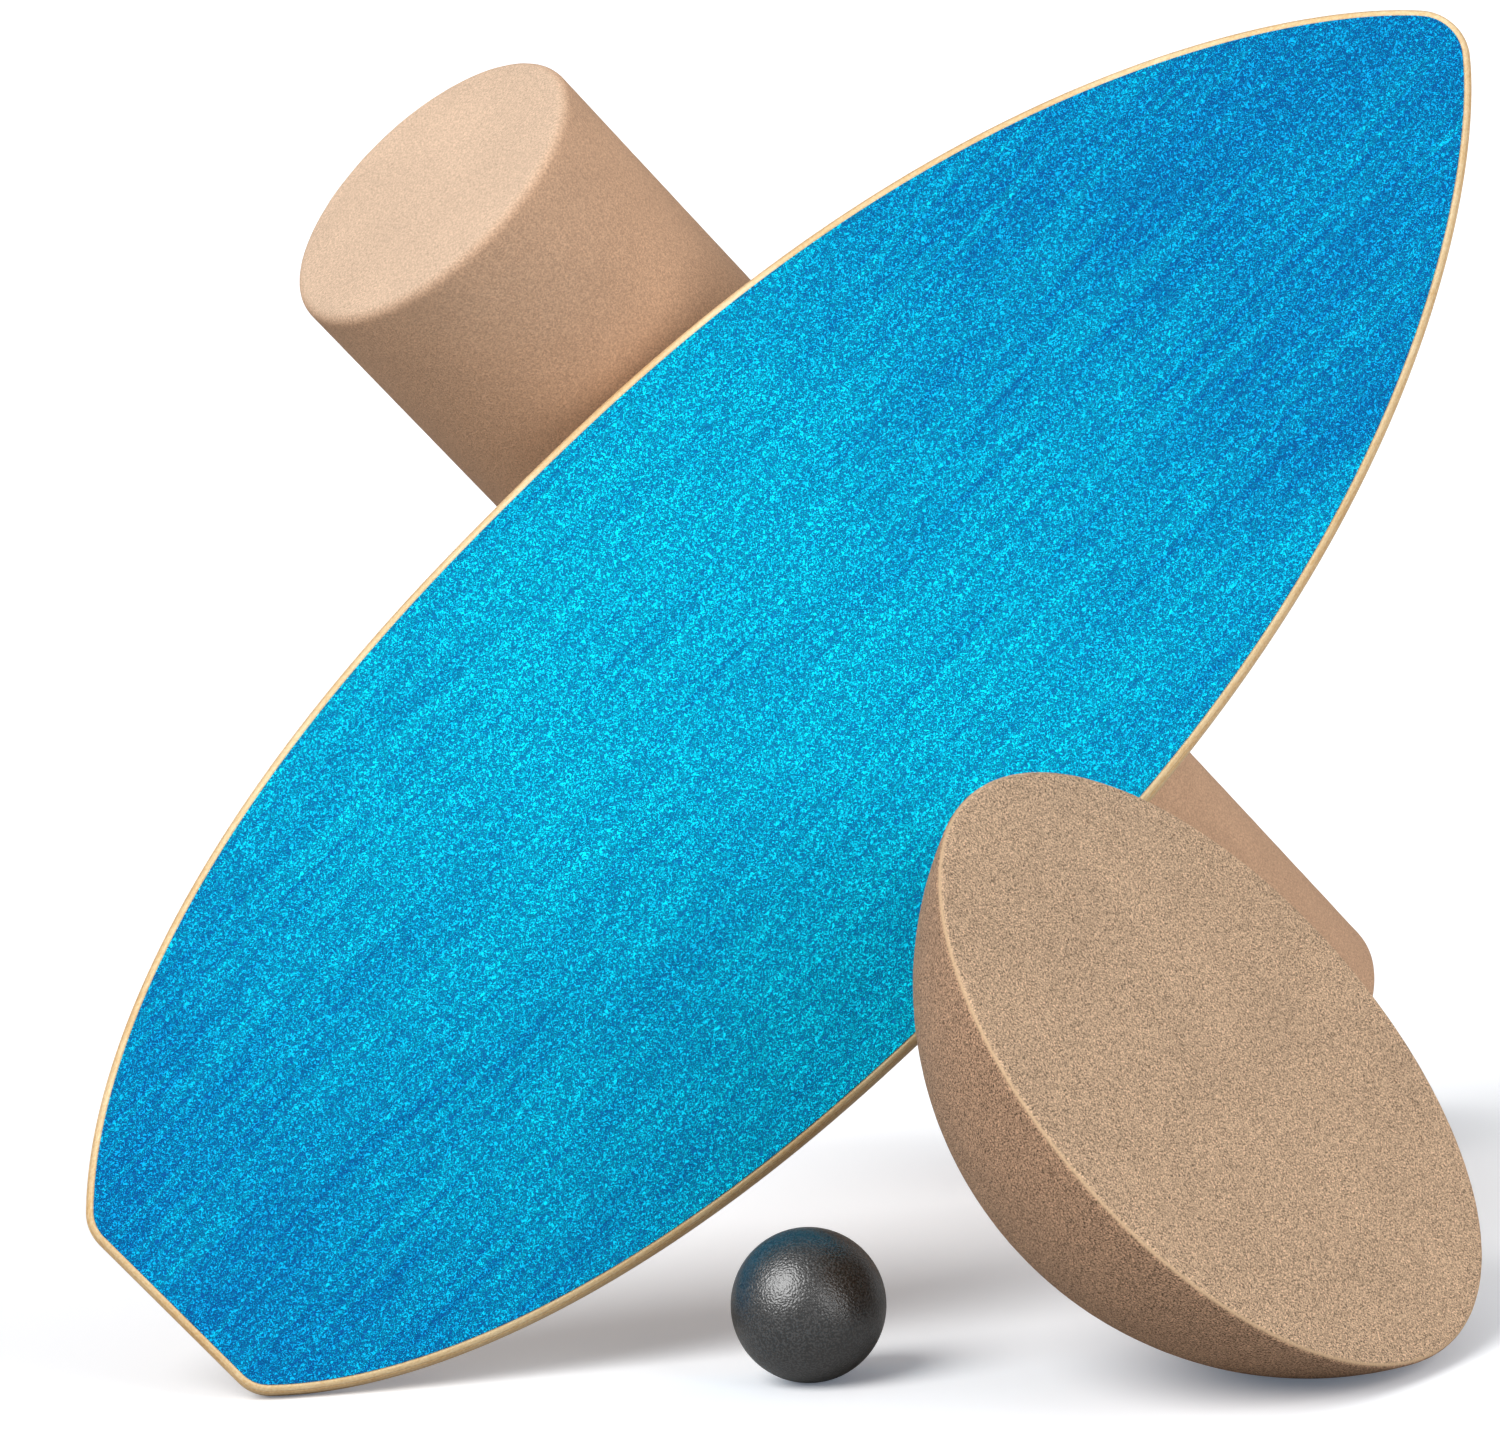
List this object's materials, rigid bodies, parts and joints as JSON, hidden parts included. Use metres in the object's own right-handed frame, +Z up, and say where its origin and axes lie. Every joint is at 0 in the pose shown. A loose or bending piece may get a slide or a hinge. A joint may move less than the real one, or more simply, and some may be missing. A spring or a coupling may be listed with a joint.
{
  "type": "balance board set",
  "caption": "Surf-shaped plywood balance deck with a textured grip face, a cork roller and cork half ball to ride it on, and a small massage ball.",
  "frame": {"origin": "on the floor under the middle of the whole set", "axes": "+X to the right along the deck's rise, +Y to the back, +Z up; the floor is Z = 0"},
  "size_m": [0.5922, 0.6483, 0.5145],
  "materials": {
    "grip": "satin",
    "plywood": "satin",
    "stop_wood": "satin",
    "screw_steel": "satin",
    "roller_cork": "matte",
    "half_ball_cork": "matte",
    "ball_rubber": "matte"
  },
  "bodies": {
    "deck": {"grip_face": "grip", "ply_1": "plywood", "ply_2": "plywood", "ply_3": "plywood", "ply_4": "plywood", "ply_5": "plywood", "ply_6": "plywood", "ply_7": "plywood", "ply_8": "plywood", "ply_9": "plywood", "tail_stop": "stop_wood", "nose_stop": "stop_wood", "stop_screws": "screw_steel"},
    "roller": {"cork_roller": "roller_cork"},
    "half_ball": {"half_ball": "half_ball_cork"},
    "massage_ball": {"massage_ball": "ball_rubber"}
  },
  "joints": [
    {"name": "roller_roll", "type": "hinge", "parent": "deck", "child": "roller", "pos_m": [0.02946, 0.14686, 0.25726], "axis": [-0.5649, -0.3911, 0.7266], "continuous": true},
    {"name": "half_ball_rock", "type": "hinge", "parent": "deck", "child": "half_ball", "pos_m": [0.1903, -0.2164, 0.15194], "axis": [-0.515, -0.8572, 0], "range_deg": [-16, 120]},
    {"name": "massage_ball_roll", "type": "hinge", "parent": "deck", "child": "massage_ball", "pos_m": [-0.0099, -0.1707, 0.03075], "axis": [1, 0, 0], "continuous": true}
  ]
}
